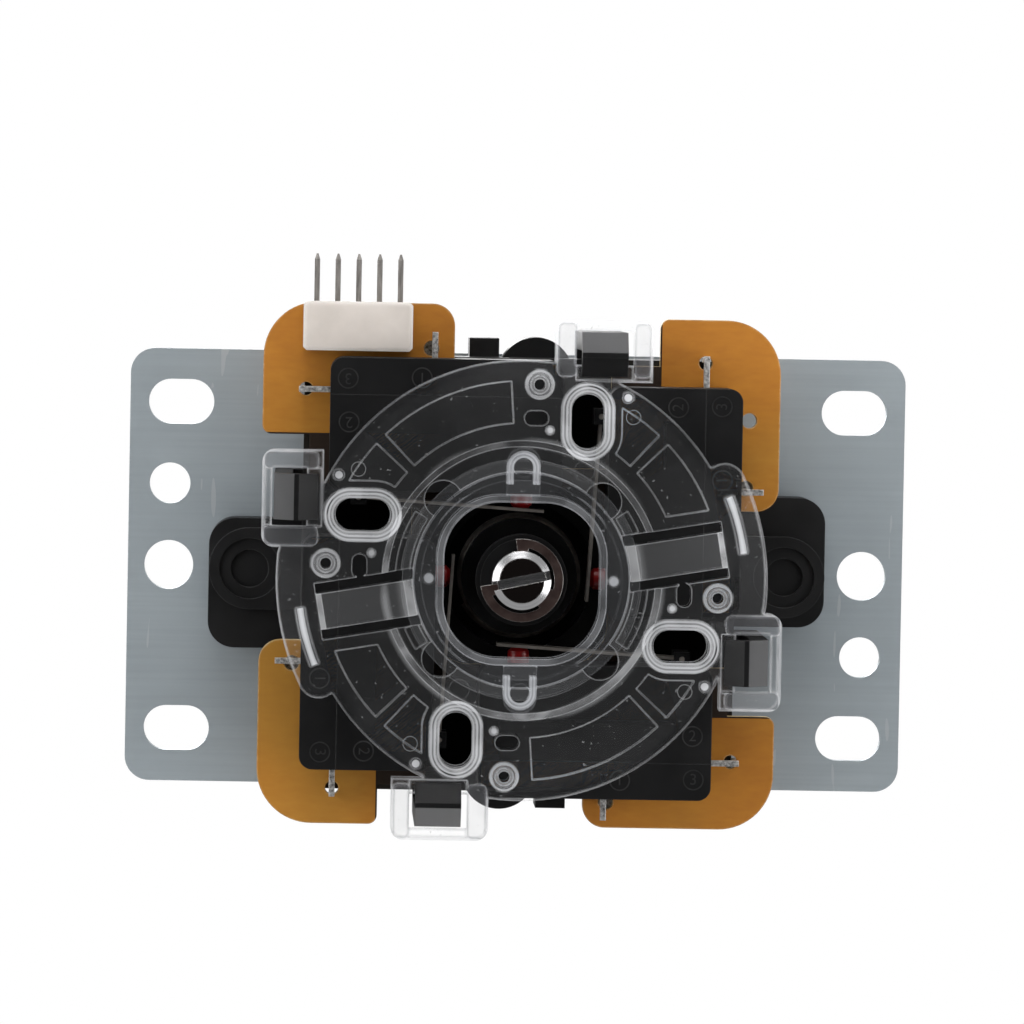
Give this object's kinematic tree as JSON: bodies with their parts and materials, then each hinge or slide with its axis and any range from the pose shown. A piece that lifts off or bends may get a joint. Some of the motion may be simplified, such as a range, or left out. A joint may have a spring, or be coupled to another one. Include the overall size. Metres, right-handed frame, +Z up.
{
  "type": "arcade joystick lever",
  "caption": "Ball-top arcade lever on a slotted steel plate, with a clear turning gate, snap switches in a pinwheel, an amber circuit board and a pin header.",
  "frame": {"origin": "centre of the mounting plate's top face, on the axis of the upright shaft", "axes": "+Z up along the shaft towards the ball, +X along the plate's length, the pin header on the -Y side"},
  "size_m": [0.095, 0.0694, 0.095],
  "materials": {
    "zinc_steel": "zinc plated, faintly brushed",
    "bright_steel": "turned and plated",
    "dark_steel": "dark spring steel",
    "spring_steel": "satin spring steel",
    "copper_alloy": "bare copper alloy",
    "tinned_pin": "tinned",
    "black_plastic": "moulded, satin",
    "gloss_ball": "polished",
    "white_plastic": "moulded nylon",
    "red_plastic": "moulded",
    "amber_board": "bare laminate, fuzzy cut edges",
    "clear_plastic": "clear moulded"
  },
  "bodies": {
    "base": {"mounting_plate": "zinc_steel", "housing": "black_plastic", "plate_screws": "bright_steel", "dust_washer": "black_plastic", "circuit_board": "amber_board", "header_body": "white_plastic", "header_pins": "tinned_pin", "gate_frame": "clear_plastic", "return_spring": "spring_steel", "north_base": "black_plastic", "north_cover": "black_plastic", "north_blade": "copper_alloy", "north_side_terminal": "tinned_pin", "north_end_terminal": "tinned_pin", "east_base": "black_plastic", "east_cover": "black_plastic", "east_blade": "copper_alloy", "east_side_terminal": "tinned_pin", "east_end_terminal": "tinned_pin", "south_base": "black_plastic", "south_cover": "black_plastic", "south_blade": "copper_alloy", "south_side_terminal": "tinned_pin", "south_end_terminal": "tinned_pin", "west_base": "black_plastic", "west_cover": "black_plastic", "west_blade": "copper_alloy", "west_side_terminal": "tinned_pin", "west_end_terminal": "tinned_pin"},
    "gate": {"gate_insert": "clear_plastic"},
    "tilt_ring": {"pivot_liner": "white_plastic"},
    "lever": {"pivot_ball": "black_plastic", "actuator": "black_plastic", "thrust_washer": "black_plastic"},
    "stick": {"shaft": "bright_steel", "ball_top": "gloss_ball", "e_clip": "dark_steel"},
    "north_leaf_lever": {"north_leaf": "spring_steel"},
    "north_button": {"north_plunger": "red_plastic"},
    "east_leaf_lever": {"east_leaf": "spring_steel"},
    "east_button": {"east_plunger": "red_plastic"},
    "south_leaf_lever": {"south_leaf": "spring_steel"},
    "south_button": {"south_plunger": "red_plastic"},
    "west_leaf_lever": {"west_leaf": "spring_steel"},
    "west_button": {"west_plunger": "red_plastic"}
  },
  "joints": [
    {"name": "gate_turn", "type": "hinge", "parent": "base", "child": "gate", "pos_m": [0, 0, -0.028], "axis": [0, 0, 1], "range_deg": [0, 45]},
    {"name": "tilt_x", "type": "hinge", "parent": "gate", "child": "tilt_ring", "pos_m": [0, 0, -0.005], "axis": [1, 0, 0], "range_deg": [-8.7, 8.7], "stiffness_Nm_per_rad": 0.3, "deforming": ["return_spring"]},
    {"name": "tilt_y", "type": "hinge", "parent": "tilt_ring", "child": "lever", "pos_m": [0, 0, -0.005], "axis": [0, 1, 0], "range_deg": [-8.7, 8.7], "stiffness_Nm_per_rad": 0.3, "deforming": ["return_spring"]},
    {"name": "lever_spin", "type": "hinge", "parent": "lever", "child": "stick", "pos_m": [0, 0, -0.005], "axis": [0, 0, 1], "continuous": true},
    {"name": "north_leaf_swing", "type": "hinge", "parent": "base", "child": "north_leaf_lever", "pos_m": [-0.0195, -0.00935, -0.02115], "axis": [0, 0, -1], "range_deg": [0, 2.5], "stiffness_Nm_per_rad": 0.1, "springref_deg": -2.86},
    {"name": "north_button_press", "type": "slide", "parent": "base", "child": "north_button", "axis": [0, -1, 0], "range_m": [0, 0.001], "deforming": ["north_blade"]},
    {"name": "east_leaf_swing", "type": "hinge", "parent": "base", "child": "east_leaf_lever", "pos_m": [0.00935, -0.0195, -0.02115], "axis": [0, 0, -1], "range_deg": [0, 2.5], "stiffness_Nm_per_rad": 0.1, "springref_deg": -2.86},
    {"name": "east_button_press", "type": "slide", "parent": "base", "child": "east_button", "axis": [1, 0, 0], "range_m": [0, 0.001], "deforming": ["east_blade"]},
    {"name": "south_leaf_swing", "type": "hinge", "parent": "base", "child": "south_leaf_lever", "pos_m": [0.0195, 0.00935, -0.02115], "axis": [0, 0, -1], "range_deg": [0, 2.5], "stiffness_Nm_per_rad": 0.1, "springref_deg": -2.86},
    {"name": "south_button_press", "type": "slide", "parent": "base", "child": "south_button", "axis": [0, 1, 0], "range_m": [0, 0.001], "deforming": ["south_blade"]},
    {"name": "west_leaf_swing", "type": "hinge", "parent": "base", "child": "west_leaf_lever", "pos_m": [-0.00935, 0.0195, -0.02115], "axis": [0, 0, -1], "range_deg": [0, 2.5], "stiffness_Nm_per_rad": 0.1, "springref_deg": -2.86},
    {"name": "west_button_press", "type": "slide", "parent": "base", "child": "west_button", "axis": [-1, 0, 0], "range_m": [0, 0.001], "deforming": ["west_blade"]}
  ],
  "couplings": [
    {"joint": "north_button_press", "follows": "north_leaf_swing", "m_per_rad": 0.019481},
    {"joint": "east_button_press", "follows": "east_leaf_swing", "m_per_rad": 0.019481},
    {"joint": "south_button_press", "follows": "south_leaf_swing", "m_per_rad": 0.019481},
    {"joint": "west_button_press", "follows": "west_leaf_swing", "m_per_rad": 0.019481}
  ]
}
